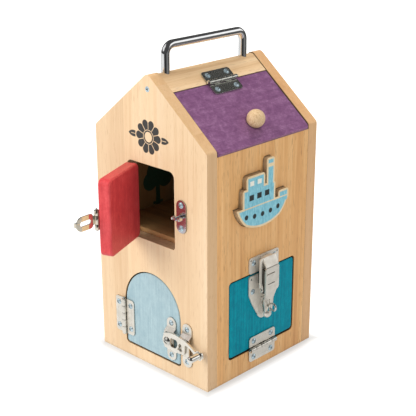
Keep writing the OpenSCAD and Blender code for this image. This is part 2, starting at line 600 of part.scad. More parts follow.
// eye that stands through the slot of the cover and turns across it
module swivel_eye() color("silver") right_at(0, eye_z) difference() {
  union() {
    translate([0, 0, 0.1]) cylinder(r = 2.3, h = 1.8);
    translate([0, 0, 1.9]) cylinder(r = 3.1, h = 0.9);
    translate([0, 0, 2.6]) cylinder(r = 1.5, h = 7.2);
    translate([0, 0, 14]) rotate([0, 90, 0]) rotate_extrude() translate([3.7, 0]) circle(1);
  }
}

// ---------- screws in the case ----------
module frame_hinge_screws() color("silver") {
  lid_hinge_at() hinge_spots(1) translate([0, 0, plate_t]) wood_screw(9.5);
  red_hinge_at() hinge_spots(1) translate([0, 0, plate_t]) wood_screw(9.5);
  blue_hinge_at() hinge_spots(1) translate([0, 0, plate_t]) wood_screw(9.5);
  teal_hinge_at() hinge_spots(1) translate([0, 0, plate_t]) wood_screw(9.5);
}
module frame_plate_screws() color("silver") {
  knob_plate_spots() translate([0, 0, plate_t]) wood_screw(9.5);
  keeper_spots() translate([0, 0, plate_t]) wood_screw(9.5);
  strike_spots() translate([0, 0, plate_t]) wood_screw(9.5);
}

// ---------- lift-out shape: a plain toy boat ----------
module boat_2d(g) {
  // hull: a shallow bowl cut level at the deck, with a raised bow
  intersection() {
    translate([0, 4]) circle(39 + g);
    translate([0, 24]) circle(56 + g);
    translate([-38 - g, -34 - g]) square([76 + 2*g, 26 + 2*g]);
  }
  translate([29.5, -7.5]) rrect(15 + 2*g, 11 + 2*g, 3 + g);
  translate([-6, -2]) rrect(46 + 2*g, 24 + 2*g, 3.5 + g);
  translate([-11, 13]) rrect(26 + 2*g, 18 + 2*g, 3.5 + g);
  translate([10, 16]) rrect(11 + 2*g, 37 + 2*g, 3 + g);
}
module puzzle_block() color("steelblue") right_at(shape_y, shape_z)
  translate([0, 0, 0.1 - recess_d]) linear_extrude(shape_t) boat_2d(0);

front_panel();
back_panel();
left_side_panel();
right_side_panel();
base_panel();
middle_shelf();
left_roof_panel();
ridge_beam();
gable_screws();
carry_handle();
handle_screws();
blue_door_stop();
teal_door_stop();
roof_lid();
lid_knob();
lid_knob_screw();
lid_screws();
lid_hinge_frame_leaf();
lid_hinge_lid_leaf();
lid_hinge_pin();
red_door();
red_hinge_frame_leaf();
red_hinge_door_leaf();
red_hinge_pin();
red_door_screws();
hasp_base();
hasp_pin();
hasp_leaf();
turn_knob_plate();
turn_knob();
blue_door();
blue_hinge_frame_leaf();
blue_hinge_door_leaf();
blue_hinge_pin();
blue_door_screws();
lever_plate();
lever_rivet();
latch_lever();
lever_knob();
lever_keeper();
teal_door();
teal_hinge_frame_leaf();
teal_hinge_door_leaf();
teal_hinge_pin();
teal_door_screws();
toggle_base();
toggle_pivot_pin();
toggle_lever();
claw_rivets();
toggle_claw();
toggle_strike();
swivel_eye();
frame_hinge_screws();
frame_plate_screws();
puzzle_block();
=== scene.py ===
import bpy
import math
from mathutils import Matrix, Vector

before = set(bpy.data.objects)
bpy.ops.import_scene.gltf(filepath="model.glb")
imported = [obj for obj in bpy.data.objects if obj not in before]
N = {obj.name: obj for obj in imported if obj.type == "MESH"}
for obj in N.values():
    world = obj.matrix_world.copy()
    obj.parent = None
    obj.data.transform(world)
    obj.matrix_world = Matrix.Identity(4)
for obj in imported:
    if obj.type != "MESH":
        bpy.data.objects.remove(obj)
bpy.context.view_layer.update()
MM = 0.001

# ---------------------------------------------------------------- sizes shared with the model (mm)
HW, HD = 76.0, 78.3
PITCH = math.radians(39.3)
APEX = 238.5 + HW * math.tan(PITCH)


# ---------------------------------------------------------------- colours and node helpers
def lin(r, g, b, k=1.0):
    out = []
    for v in (r, g, b):
        v = v / 255.0
        v = v / 12.92 if v <= 0.04045 else ((v + 0.055) / 1.055) ** 2.4
        out.append(v * k)
    return (*out, 1.0)


class Mat:
    """One material and short ways to add nodes to it."""

    def __init__(self, name, metallic=0.0, rough=0.5, spec=0.5, coat=0.0, coat_rough=0.1):
        self.m = bpy.data.materials.new(name)
        self.m.use_nodes = True
        self.t = self.m.node_tree
        self.t.nodes.clear()
        out = self.t.nodes.new("ShaderNodeOutputMaterial")
        self.b = self.t.nodes.new("ShaderNodeBsdfPrincipled")
        self.t.links.new(self.b.outputs[0], out.inputs[0])
        self.b.inputs["Metallic"].default_value = metallic
        self.b.inputs["Roughness"].default_value = rough
        self.b.inputs["Specular IOR Level"].default_value = spec
        self.b.inputs["Coat Weight"].default_value = coat
        self.b.inputs["Coat Roughness"].default_value = coat_rough
        tc = self.t.nodes.new("ShaderNodeTexCoord")
        self.obj = tc.outputs["Object"]
        self.nrm = tc.outputs["Normal"]

    def put(self, socket, v):
        if isinstance(v, bpy.types.NodeSocket):
            self.t.links.new(v, socket)
        else:
            socket.default_value = v

    def math(self, op, a, b=0.0, c=None, clamp=False):
        n = self.t.nodes.new("ShaderNodeMath")
        n.operation = op
        n.use_clamp = clamp
        self.put(n.inputs[0], a)
        self.put(n.inputs[1], b)
        if c is not None:
            self.put(n.inputs[2], c)
        return n.outputs[0]

    def vmul(self, v, s):
        n = self.t.nodes.new("ShaderNodeVectorMath")
        n.operation = "MULTIPLY"
        self.put(n.inputs[0], v)
        self.put(n.inputs[1], s)
        return n.outputs[0]

    def vadd(self, v, s):
        n = self.t.nodes.new("ShaderNodeVectorMath")
        n.operation = "ADD"
        self.put(n.inputs[0], v)
        self.put(n.inputs[1], s)
        return n.outputs[0]

    def sep(self, v):
        n = self.t.nodes.new("ShaderNodeSeparateXYZ")
        self.put(n.inputs[0], v)
        return n.outputs[0], n.outputs[1], n.outputs[2]

    def comb(self, x, y, z):
        n = self.t.nodes.new("ShaderNodeCombineXYZ")
        for i, v in enumerate((x, y, z)):
            self.put(n.inputs[i], v)
        return n.outputs[0]

    def noise(self, vec, scale=1.0, detail=2.0, rough=0.5, dist=0.0, colour=False):
        n = self.t.nodes.new("ShaderNodeTexNoise")
        self.put(n.inputs["Vector"], vec)
        n.inputs["Scale"].default_value = scale
        n.inputs["Detail"].default_value = detail
        n.inputs["Roughness"].default_value = rough
        n.inputs["Distortion"].default_value = dist
        return n.outputs["Color" if colour else "Fac"]

    def white(self, v):
        n = self.t.nodes.new("ShaderNodeTexWhiteNoise")
        n.noise_dimensions = "1D"
        self.put(n.inputs["W"], v)
        return n.outputs["Value"]

    def voronoi(self, vec, scale=1.0, feature="F1"):
        n = self.t.nodes.new("ShaderNodeTexVoronoi")
        n.feature = feature
        self.put(n.inputs["Vector"], vec)
        n.inputs["Scale"].default_value = scale
        return n.outputs["Distance"]

    def map(self, v, a, b, c=0.0, d=1.0, smooth=False):
        n = self.t.nodes.new("ShaderNodeMapRange")
        n.clamp = True
        if smooth:
            n.interpolation_type = "SMOOTHSTEP"
        self.put(n.inputs["Value"], v)
        n.inputs["From Min"].default_value = a
        n.inputs["From Max"].default_value = b
        n.inputs["To Min"].default_value = c
        n.inputs["To Max"].default_value = d
        return n.outputs["Result"]

    def ramp(self, v, stops):
        n = self.t.nodes.new("ShaderNodeValToRGB")
        e = n.color_ramp.elements
        while len(e) > 1:
            e.remove(e[-1])
        e[0].position, e[0].color = stops[0]
        for pos, col in stops[1:]:
            x = e.new(pos)
            x.color = col
        self.put(n.inputs[0], v)
        return n.outputs[0]

    def mix(self, f, a, b, mode="MIX"):
        n = self.t.nodes.new("ShaderNodeMix")
        n.data_type = "RGBA"
        n.blend_type = mode
        self.put(n.inputs[0], f)
        self.put(n.inputs[6], a)
        self.put(n.inputs[7], b)
        return n.outputs[2]

    def hsv(self, col, h=0.5, s=1.0, v=1.0):
        n = self.t.nodes.new("ShaderNodeHueSaturation")
        self.put(n.inputs["Hue"], h)
        self.put(n.inputs["Saturation"], s)
        self.put(n.inputs["Value"], v)
        self.put(n.inputs["Color"], col)
        return n.outputs[0]

    def bump(self, height, strength, dist, normal=None):
        n = self.t.nodes.new("ShaderNodeBump")
        n.inputs["Strength"].default_value = strength
        n.inputs["Distance"].default_value = dist
        self.put(n.inputs["Height"], height)
        if normal is not None:
            self.put(n.inputs["Normal"], normal)
        return n.outputs[0]

    def ao(self, dist, samples=6):
        n = self.t.nodes.new("ShaderNodeAmbientOcclusion")
        n.samples = samples
        n.inputs["Distance"].default_value = dist
        return n.outputs["AO"]

    def finish(self, colour=None, rough=None, normal=None):
        if colour is not None:
            self.put(self.b.inputs["Base Color"], colour)
        if rough is not None:
            self.put(self.b.inputs["Roughness"], rough)
        if normal is not None:
            self.put(self.b.inputs["Normal"], normal)
        return self.m

    # masks: 1 inside, 0 outside, edge softened over w (mm)
    def inside(self, sdf, w=0.12):
        return self.map(sdf, -w, w, 1.0, 0.0)

    def circle(self, x, y, cx, cy, r, kx=1.0, ky=1.0):
        dx = self.math("MULTIPLY", self.math("SUBTRACT", x, cx), kx)
        dy = self.math("MULTIPLY", self.math("SUBTRACT", y, cy), ky)
        d = self.math("SQRT", self.math("ADD", self.math("MULTIPLY", dx, dx), self.math("MULTIPLY", dy, dy)))
        return self.math("SUBTRACT", d, r)

    def rect(self, x, y, cx, cy, w, h):
        dx = self.math("SUBTRACT", self.math("ABSOLUTE", self.math("SUBTRACT", x, cx)), w / 2)
        dy = self.math("SUBTRACT", self.math("ABSOLUTE", self.math("SUBTRACT", y, cy)), h / 2)
        return self.math("MAXIMUM", dx, dy)

    def any(self, *a):
        v = a[0]
        for x in a[1:]:
            v = self.math("MINIMUM", v, x)
        return v

    def all(self, *a):
        v = a[0]
        for x in a[1:]:
            v = self.math("MAXIMUM", v, x)
        return v


# ---------------------------------------------------------------- wood
def grain_coords(g, axis):
    """Object coordinates with the grain along the last axis."""
    x, y, z = g.sep(g.obj)
    if axis == "Z":
        return g.comb(x, y, z), (x, y, z)
    if axis == "Y":
        return g.comb(z, x, y), (x, y, z)
    if axis == "X":
        return g.comb(y, z, x), (x, y, z)
    raise ValueError(axis)


def wood_base(g, axis, light, mid, dark, pore, seed=0.0, stave=0.046, stave_dir=0, pores=0.5, contrast=1.0, figure=0.5):
    P, xyz = grain_coords(g, axis)
    P = g.vadd(P, (seed, seed * 0.7, seed * 1.3))
    # slow wander of the grain
    w = g.noise(g.vmul(P, (9, 9, 2.0)), 1.0, 2, 0.5, colour=True)
    P = g.vadd(P, g.vmul(g.vadd(w, (-0.5, -0.5, -0.5)), (0.010, 0.010, 0.0)))
    # glued staves, each with its own tint and its own grain
    px = g.sep(P)
    u = px[stave_dir]
    cell = g.math("FLOOR", g.math("DIVIDE", u, stave))
    tint = g.white(g.math("ADD", cell, 7.3 + seed * 11))
    Ps = g.vadd(P, g.comb(g.math("MULTIPLY", tint, 0.9), g.math("MULTIPLY", tint, 0.5), g.math("MULTIPLY", tint, 1.7)))
    broad = g.noise(g.vmul(Ps, (34, 34, 1.6)), 1.0, 3, 0.55)
    rings = g.noise(g.vmul(Ps, (120, 120, 2.6)), 1.0, 4, 0.6, dist=0.3)
    streak = g.noise(g.vmul(Ps, (330, 330, 7)), 1.0, 3, 0.6)
    fibre = g.noise(g.vmul(Ps, (1300, 1300, 32)), 1.0, 2, 0.6)
    dash = g.noise(g.vmul(Ps, (1050, 1050, 95)), 1.0, 1.5, 0.5)
    mixv = g.math("ADD", g.math("MULTIPLY", broad, 0.34), g.math("MULTIPLY", rings, 0.34 * figure * 2))
    mixv = g.math("ADD", mixv, g.math("MULTIPLY", streak, 0.20))
    mixv = g.math("ADD", mixv, g.math("MULTIPLY", fibre, 0.12))
    total = 0.34 + 0.68 * figure + 0.32
    mixv = g.math("DIVIDE", mixv, total)
    c = 0.5
    col = g.ramp(mixv, [(c - 0.16 / contrast, dark), (c, mid), (c + 0.15 / contrast, light)])
    pm = g.map(dash, 0.60, 0.70, 0.0, 1.0)
    # pores come in bands with the rings
    pm = g.math("MULTIPLY", pm, g.map(rings, 0.40, 0.62, 0.25, 1.0))
    col = g.mix(g.math("MULTIPLY", pm, pores), col, pore)
    val = g.map(tint, 0, 1, 0.955, 1.045)
    col = g.hsv(col, 0.5, 1.0, val)
    height = g.math("SUBTRACT", g.math("MULTIPLY", fibre, 0.5), g.math("MULTIPLY", pm, 1.0))
    height = g.math("ADD", height, g.math("MULTIPLY", streak, 0.35))
    return col, height, xyz, mixv


LIGHT = dict(light=lin(235, 210, 178), mid=lin(226, 196, 158), dark=lin(207, 169, 127), pore=lin(174, 128, 84))
SIDE = dict(light=lin(243, 199, 141), mid=lin(231, 177, 113), dark=lin(202, 142, 84), pore=lin(150, 94, 50))
# palette for the parts inside the rooms, darkened as painted shade
INNER_SHADED = dict(light=lin(176, 134, 88), mid=lin(154, 110, 66), dark=lin(120, 80, 44), pore=lin(86, 54, 28))


def wood(name, axis, pal, rough=0.46, extra=None, **kw):
    g = Mat(name, rough=rough, spec=0.42, coat=0.10, coat_rough=0.32)
    col, height, xyz, v = wood_base(g, axis, **pal, **kw)
    if extra:
        col = extra(g, col, xyz)
    # painted shade in the narrow gaps: darker brown where ambient occlusion is low
    gap = g.map(g.ao(0.006), 0.25, 0.62, 0.72, 0.0)
    col = g.mix(gap, col, lin(58, 38, 22))
    r = g.map(v, 0.3, 0.7, rough + 0.06, rough - 0.05)
    nrm = g.bump(height, 0.22, 0.00025)
    return g.finish(col, r, nrm)


def mm(g, s):
    return g.math("MULTIPLY", s, 1000.0)


def edge_shade(g, col, k=1.0):
    # painted shade: faces turned away from the front and back (the board edges) are painted darker and warmer
    n = g.sep(g.nrm)[1]
    m = g.map(g.math("ABSOLUTE", n), 0.45, 0.85, k, 0.0)
    return g.mix(m, col, g.mix(1.0, col, (0.955, 0.84, 0.70, 1), "MULTIPLY"))


# front: print in the gable, painted shade and burn brown on the edges in the doorways
def front_extra(g, col, xyz):
    x, y, z = (mm(g, s) for s in xyz)
    face = g.map(y, -HD + 0.25, -HD + 0.05, 0.0, 1.0)
    # scalloped flower
    dx = g.math("SUBTRACT", x, 0.0)
    dz = g.math("SUBTRACT", z, 241.0)
    r = g.math("SQRT", g.math("ADD", g.math("MULTIPLY", dx, dx), g.math("MULTIPLY", dz, dz)))
    th = g.math("ARCTAN2", dz, dx)
    lobe = g.math("ABSOLUTE", g.math("COSINE", g.math("MULTIPLY", th, 5.0)))
    edge = g.math("ADD", 12.2, g.math("MULTIPLY", g.math("POWER", lobe, 0.55), 4.6))
    petal = g.inside(g.math("SUBTRACT", r, edge), 0.18)
    # natural lines between the petals, from the middle outwards
    gap = g.math("MULTIPLY", g.math("SUBTRACT", lobe, 0.0), g.math("MULTIPLY", r, 0.2))
    line = g.map(gap, 0.26, 0.40, 1.0, 0.0)
    line = g.math("MULTIPLY", line, g.map(r, 7.4, 7.8, 0.0, 1.0))
    core = g.inside(g.math("SUBTRACT", r, 5.0), 0.18)
    ring = g.inside(g.math("SUBTRACT", g.math("ABSOLUTE", g.math("SUBTRACT", r, 6.8)), 0.32), 0.12)
    flower = g.math("MULTIPLY", petal, g.math("SUBTRACT", 1.0, g.math("MAXIMUM", core, line)))
    flower = g.math("MULTIPLY", flower, g.math("SUBTRACT", 1.0, ring))
    leaves = None
    for s in (-1, 1):
        # pointed leaf: where two circles overlap
        a = g.circle(x, z, s * 20.2, 241 - 6.4 + s * 0.0, 9.6)
        b = g.circle(x, z, s * 20.2, 241 + 6.4, 9.6)
        leaf = g.all(a, b)
        rib = g.all(g.math("SUBTRACT", g.math("ABSOLUTE", g.math("SUBTRACT", z, 241.0)), 0.28),
                    g.math("SUBTRACT", g.math("ABSOLUTE", g.math("SUBTRACT", x, s * 19.4)), 4.6))
        m = g.math("MULTIPLY", g.inside(leaf, 0.18), g.math("SUBTRACT", 1.0, g.inside(rib, 0.12)))
        leaves = m if leaves is None else g.math("MAXIMUM", leaves, m)
    out = g.map(r, 17.6, 18.0, 0.0, 1.0)
    ink = g.math("MAXIMUM", flower, g.math("MULTIPLY", leaves, out))
    ink = g.math("MULTIPLY", ink, face)
    wear = g.map(g.noise(g.vmul(g.obj, (1200, 1200, 160)), 1.0, 3, 0.7), 0.62, 0.78, 1.0, 0.72)
    ink = g.math("MULTIPLY", ink, wear)
    # cut edges inside the doorways: painted shade makes them darker and browner, partly laser-burn brown in patches
    edge_in = g.math("MULTIPLY", g.map(y, -HD + 0.5, -HD + 1.2, 0.0, 1.0),
                     g.inside(g.rect(x, z, 0, 113, 100, 216), 0.5))
    burn = g.map(g.noise(g.vmul(g.obj, (260, 260, 60)), 1.0, 3, 0.6), 0.3, 0.75, 0.35, 0.75)
    col = g.mix(edge_in, edge_shade(g, col), col)
    col = g.mix(g.math("MULTIPLY", g.math("MULTIPLY", edge_in, burn), 0.7), col, lin(122, 82, 48))
    return g.mix(ink, col, lin(52, 50, 48))


def back_extra(g, col, xyz):
    # painted shade: the face inside the rooms is darker
    y = mm(g, xyz[1])
    inside = g.map(y, HD - 12.9, HD - 12.6, 0.8, 0.0)
    col = edge_shade(g, g.mix(1.0, col, (0.96, 0.88, 0.80, 1), "MULTIPLY"))
    return g.mix(inside, col, lin(44, 36, 22))


def side_extra(g, col, xyz):
    x, y, z = (mm(g, s) for s in xyz)
    # darker brown deeper than 1 mm behind the outer face (recess walls and inner face): partly laser-burn brown, partly
    # painted shade
    cut = g.math("MULTIPLY", g.map(x, HW - 1.0, HW - 0.35, 1.0, 0.0),
                 g.inside(g.math("SUBTRACT", g.math("ABSOLUTE", y), 60.0), 0.5))
    burn = g.map(g.noise(g.vmul(g.obj, (260, 260, 60)), 1.0, 3, 0.6), 0.3, 0.75, 0.55, 0.95)
    return g.mix(g.math("MULTIPLY", cut, burn), col, lin(74, 46, 26))


def left_extra(g, col, xyz):
    # simple tree printed on the inner face
    x, y, z = (mm(g, s) for s in xyz)
    inner = g.map(x, -HW + 12.7, -HW + 12.95, 0.0, 1.0)
    crown = g.any(g.circle(y, z, -9, 176, 15), g.circle(y, z, -19, 168, 10), g.circle(y, z, 2, 168, 10),
                  g.circle(y, z, -9, 190, 9))
    trunk = g.rect(y, z, -8.5, 152, 6, 24)
    roots = g.rect(y, z, -8.5, 143.2, 14, 3)
    ink = g.math("MULTIPLY", g.inside(g.any(crown, trunk, roots), 0.2), inner)
    # painted shade: the rooms get darker away from their doorways
    deep = g.math("MULTIPLY", inner, g.map(z, 120, 225, 0.78, 0.45))
    col = g.mix(deep, col, lin(58, 40, 26))
    return g.mix(g.math("MULTIPLY", ink, 0.95), col, lin(22, 66, 52))


M = {}
M["front"] = wood("birch_front", "Z", LIGHT, seed=0.31, pores=0.34, contrast=0.85, figure=0.35, extra=front_extra)
M["back"] = wood("birch_back", "Z", LIGHT, seed=1.73, pores=0.38, contrast=0.9, figure=0.4, extra=back_extra)
M["left"] = wood("birch_left", "Z", SIDE, seed=2.41, stave_dir=1, pores=0.6, contrast=1.0, extra=left_extra)
M["right"] = wood("side_right", "Z", SIDE, seed=3.17, stave_dir=1, pores=0.6, contrast=1.35, figure=0.6, extra=side_extra)
M["base"] = wood("inner_base", "X", INNER_SHADED, seed=4.2, pores=0.5)


def shelf_extra(g, col, xyz):
    # paler where light falls on it through the doorway
    y = mm(g, xyz[1])
    near = g.map(y, -HD + 13, -HD + 46, 0.85, 0.0)
    return g.mix(near, col, g.mix(1.0, g.mix(0.55, col, lin(236, 196, 140)), (1.0, 0.97, 0.90, 1), "MULTIPLY"))


M["shelf"] = wood("inner_shelf", "X", INNER_SHADED, seed=5.6, pores=0.5, extra=shelf_extra)
M["blocks"] = wood("inner_blocks", "Z", INNER_SHADED, seed=6.1, pores=0.5)
M["roof"] = wood("birch_roof", "Y", LIGHT, seed=7.7, stave=0.055, pores=0.5, contrast=1.0)
M["ridge"] = wood("birch_ridge", "Y", dict(light=lin(247, 219, 180), mid=lin(238, 203, 158), dark=lin(212, 168, 118), pore=lin(164, 118, 76)),
                  seed=8.9, stave=0.08, pores=0.55, contrast=1.15, figure=0.75)


# wooden ball knob: end grain on top, rings around
def knob_material():
    g = Mat("turned_knob", rough=0.42, spec=0.45, coat=0.15, coat_rough=0.25)
    x, y, z = (mm(g, s) for s in g.sep(g.obj))
    # axis of the roof's outward normal through the knob
    n = Vector((math.sin(PITCH), 0.0, math.cos(PITCH)))
    P = g.obj
    fine = g.noise(g.vmul(P, (900, 900, 900)), 1.0, 3, 0.65)
    band = g.noise(g.vmul(P, (220, 1300, 220)), 1.0, 3, 0.55, dist=0.2)
    v = g.math("ADD", g.math("MULTIPLY", fine, 0.5), g.math("MULTIPLY", band, 0.5))
    col = g.ramp(v, [(0.34, lin(190, 154, 112)), (0.5, lin(216, 184, 142)), (0.66, lin(230, 204, 166))])
    spots = g.map(g.noise(g.vmul(P, (2400, 2400, 2400)), 1.0, 1, 0.5), 0.62, 0.72, 0.0, 0.45)
    col = g.mix(spots, col, lin(170, 122, 78))
    return g.finish(col, g.map(v, 0.3, 0.7, 0.5, 0.38), g.bump(v, 0.15, 0.0003))


M["knob"] = knob_material()


# ---------------------------------------------------------------- stained and painted wood
def stained(name, axis, base, deep, pale, rough=0.42, coat=0.12, mottle=0.5, grainy=0.5, seed=0.0, edge=None, spec=0.45):
    g = Mat(name, rough=rough, spec=spec, coat=coat, coat_rough=0.28)
    P, xyz = grain_coords(g, axis)
    P = g.vadd(P, (seed, seed, seed))
    m1 = g.noise(g.vmul(P, (130, 130, 90)), 1.0, 4, 0.62, dist=0.6)
    m2 = g.noise(g.vmul(P, (520, 520, 420)), 1.0, 3, 0.6, dist=0.4)
    st = g.noise(g.vmul(P, (420, 420, 12)), 1.0, 3, 0.55)
    fi = g.noise(g.vmul(P, (1500, 1500, 60)), 1.0, 2, 0.6)
    v = g.math("ADD", g.math("MULTIPLY", g.math("ADD", g.math("MULTIPLY", m1, 0.6), g.math("MULTIPLY", m2, 0.4)), mottle),
               g.math("MULTIPLY", g.math("ADD", g.math("MULTIPLY", st, 0.6), g.math("MULTIPLY", fi, 0.4)), grainy))
    v = g.math("DIVIDE", v, mottle + grainy)
    col = g.ramp(v, [(0.33, deep), (0.5, base), (0.66, pale)])
    if edge:
        col = edge(g, col, xyz)
    # painted shade in the narrow gaps: darker where ambient occlusion is low
    col = g.mix(g.map(g.ao(0.005), 0.25, 0.62, 0.75, 0.0), col, (deep[0] * 0.12, deep[1] * 0.16, deep[2] * 0.14, 1))
    h = g.math("ADD", g.math("MULTIPLY", fi, 0.6), g.math("MULTIPLY", m2, 0.4))
    return g.finish(col, g.map(v, 0.3, 0.7, rough - 0.05, rough + 0.08), g.bump(h, 0.22, 0.0003))


def flap_rim_shade(g, col, xyz):
    # painted shade: a dark line along the flap's rim stands in for the shadow in the gap around it
    x, y, z = (mm(g, s) for s in xyz)
    d = g.rect(y, z, 0, 63.7, 95.8, 80.9)
    return g.mix(g.map(d, -0.75, -0.25, 0.0, 0.85), col, lin(6, 34, 40))


M["purple"] = stained("purple_stain", "Y", lin(128, 82, 123), lin(98, 56, 96), lin(160, 116, 154), rough=0.5, mottle=0.9, grainy=0.35, seed=1.1)
M["red"] = stained("red_paint", "Z", lin(212, 66, 70), lin(190, 46, 54), lin(230, 92, 94), rough=0.42, mottle=0.55, grainy=0.5, seed=2.3)
M["blue"] = stained("pale_blue_paint", "Z", lin(157, 183, 191), lin(134, 164, 176), lin(178, 202, 207), rough=0.46, mottle=0.6, grainy=0.6, seed=3.9)
M["teal"] = stained("teal_paint", "Z", lin(0, 138, 158), lin(0, 108, 132), lin(4, 164, 182), rough=0.5, coat=0.0, spec=0.08, mottle=0.5, grainy=0.6, seed=5.1, edge=flap_rim_shade)


# lift-out boat: printed face with a natural rim, brown cut sides
def boat_material():
    g = Mat("boat_shape", rough=0.45, spec=0.42, coat=0.1, coat_rough=0.3)
    col, height, xyz, v = wood_base(g, "Z", light=lin(244, 226, 190), mid=lin(236, 212, 170), dark=lin(220, 190, 142),
                                    pore=lin(190, 150, 104), seed=9.4, stave_dir=1, pores=0.4, contrast=0.9, figure=0.4)
    x, y, z = (mm(g, s) for s in xyz)
    u = g.math("ADD", y, 6.5)
    w = g.math("SUBTRACT", z, 186.0)
    face = g.map(x, HW + 4.75, HW + 4.95, 0.0, 1.0)
    e = 2.0
    hull = g.all(g.circle(u, w, 0, 4, 39 - e), g.circle(u, w, 0, 24, 56 - e), g.rect(u, w, 0, -21, 76, 26 - 2 * e))
    bow = g.rect(u, w, 29.5, -7.5, 15 - 2 * e, 11 - 2 * e)
    cabin = g.rect(u, w, -6, 0.0, 46 - 2 * e, 20 - 2 * e)
    house = g.rect(u, w, -11, 14.6, 26 - 2 * e, 14.8 - 2 * e)
    stack = g.rect(u, w, 10, 21.8, 11 - 2 * e, 25.4 - 2 * e)
    joins = g.any(g.rect(u, w, -6, -10.5, 42, 6), g.rect(u, w, -11, 8, 22, 6), g.rect(u, w, 10, 9, 7, 8), g.rect(u, w, 29.5, -10.5, 11, 7))
    blue = g.any(hull, bow, cabin, house, stack, joins)
    # natural bands left in the print: one along the deck, one round the stack
    deck = g.rect(u, w, 0, -9.2, 90, 1.1)
    band = g.rect(u, w, 10, 27.0, 9, 3.6)
    ink = g.math("MULTIPLY", g.inside(blue, 0.15), g.math("SUBTRACT", 1.0, g.inside(g.any(deck, band), 0.12)))
    ports = g.any(g.circle(u, w, -24, -17.5, 2.5), g.circle(u, w, -12.5, -19, 2.5), g.circle(u, w, -1, -19.4, 2.5),
                  g.circle(u, w, 10.5, -19, 2.5), g.circle(u, w, 21.5, -17.5, 2.5),
                  g.rect(u, w, -17, 0.5, 6.4, 5.6), g.rect(u, w, -6, 0.5, 6.4, 5.6), g.rect(u, w, 5, 0.5, 6.4, 5.6))
    dark = g.inside(ports, 0.15)
    lights = g.inside(g.any(g.rect(u, w, -16.5, 14.5, 5.6, 4.6), g.rect(u, w, -6, 14.5, 5.6, 4.6)), 0.15)
    sides = g.map(x, HW + 4.2, HW + 4.8, 1.0, 0.0)
    burn = g.map(g.noise(g.vmul(g.obj, (300, 300, 80)), 1.0, 3, 0.6), 0.3, 0.75, 0.45, 0.9)
    col = g.mix(g.math("MULTIPLY", sides, burn), col, lin(118, 78, 44))
    spot = g.noise(g.vmul(g.obj, (700, 700, 220)), 1.0, 3, 0.6)
    paint = g.ramp(spot, [(0.35, lin(112, 182, 202)), (0.5, lin(128, 196, 214)), (0.66, lin(150, 210, 224))])
    col = g.mix(g.math("MULTIPLY", ink, face), col, paint)
    col = g.mix(g.math("MULTIPLY", lights, face), col, lin(238, 236, 224))
    col = g.mix(g.math("MULTIPLY", dark, face), col, lin(34, 42, 42))
    return g.finish(col, g.map(v, 0.3, 0.7, 0.5, 0.4), g.bump(height, 0.15, 0.0002))


M["boat"] = boat_material()


# ---------------------------------------------------------------- metals
def metal(name, light, dark, rough, wave=0.25, brushed=None, spots=0.0, seed=0.0, crease_shade=0.0, shade=None, plated=1.0, grit=0.05, uneven=1.0):
    g = Mat(name, metallic=plated, rough=rough)
    P = g.vadd(g.obj, (seed, seed, seed))
    big = g.noise(P, 180.0, 3, 0.55)
    fine = g.noise(P, 1400.0, 3, 0.6)
    lines = g.noise(g.vmul(P, brushed or (900, 900, 900)), 1.0, 3, 0.6)
    col = g.mix(g.map(big, 0.3, 0.7), light, dark)
    if spots:
        col = g.mix(g.map(fine, 0.66, 0.8, 0.0, spots), col, (dark[0] * 0.45, dark[1] * 0.42, dark[2] * 0.38, 1))
    smear = g.math("ADD", g.math("MULTIPLY", big, 0.6), g.math("MULTIPLY", lines, 0.4))
    r = g.map(smear, 0.3, 0.7, max(0.03, rough * (1.0 - 0.3 * uneven)), rough * (1.0 + 0.35 * uneven))
    if shade:
        col = g.mix(shade(g, [mm(g, s) for s in g.sep(g.obj)]), col, (0.02, 0.018, 0.015, 1))
    # painted shade where two pieces meet and in the slots: darker where ambient occlusion is low
    if crease_shade:
        col = g.mix(g.map(g.ao(crease_shade), 0.30, 0.80, 0.85, 0.0), col, (dark[0] * 0.06, dark[1] * 0.055, dark[2] * 0.05, 1))
    n1 = g.bump(g.noise(P, 95.0, 2, 0.5), wave, 0.0012)
    n2 = g.bump(lines, grit, 0.0002, n1)
    return g.finish(col, r, n2)


def toggle_walls(g, xyz):
    # the walls under the cover lie in its shade
    x, y, z = xyz
    wall = g.map(g.math("ABSOLUTE", y), 8.55, 8.75, 0.0, 1.0)
    low = g.map(x, HW + 11.0, HW + 11.7, 1.0, 0.0)
    return g.math("MULTIPLY", g.math("MULTIPLY", wall, low), 0.9)


def base_wall_shade(g, xyz):
    # painted shade on the raised parts above the plate and in the pressed rib
    x, y, z = xyz
    up = g.math("MULTIPLY", g.map(x, HW + 1.4, HW + 1.8, 0.0, 1.0), g.map(z, 90.0, 91.0, 0.0, 1.0))
    rib = g.math("MULTIPLY", g.inside(g.rect(y, z, 0, 67, 1.2, 15), 0.3), 0.85)
    return g.math("MAXIMUM", g.math("MULTIPLY", up, 0.9), rib)


M["chrome"] = metal("polished_chrome", lin(238, 238, 238), lin(226, 227, 228), 0.06, wave=0.02)
M["fittings"] = metal("chrome_fittings", lin(238, 236, 230), lin(220, 217, 210), 0.10, wave=0.03, seed=1.0, crease_shade=0.0012, grit=0.02)
M["nickel"] = metal("nickel_plate", lin(236, 231, 221), lin(224, 218, 206), 0.30, wave=0.05, spots=0.12, seed=2.0, crease_shade=0.0016)
M["nickel_bright"] = metal("nickel_bright", lin(240, 235, 225), lin(226, 220, 209), 0.24, wave=0.05, spots=0.10, seed=3.0, crease_shade=0.0016)
M["toggle"] = metal("toggle_nickel", lin(238, 233, 223), lin(226, 220, 208), 0.36, wave=0.03, spots=0.05, seed=6.0, crease_shade=0.0012, shade=toggle_walls, plated=0.8)
M["tbase"] = metal("base_nickel", lin(240, 235, 225), lin(228, 222, 210), 0.46, wave=0.03, spots=0.05, seed=7.0, crease_shade=0.0010, shade=base_wall_shade, plated=0.45)
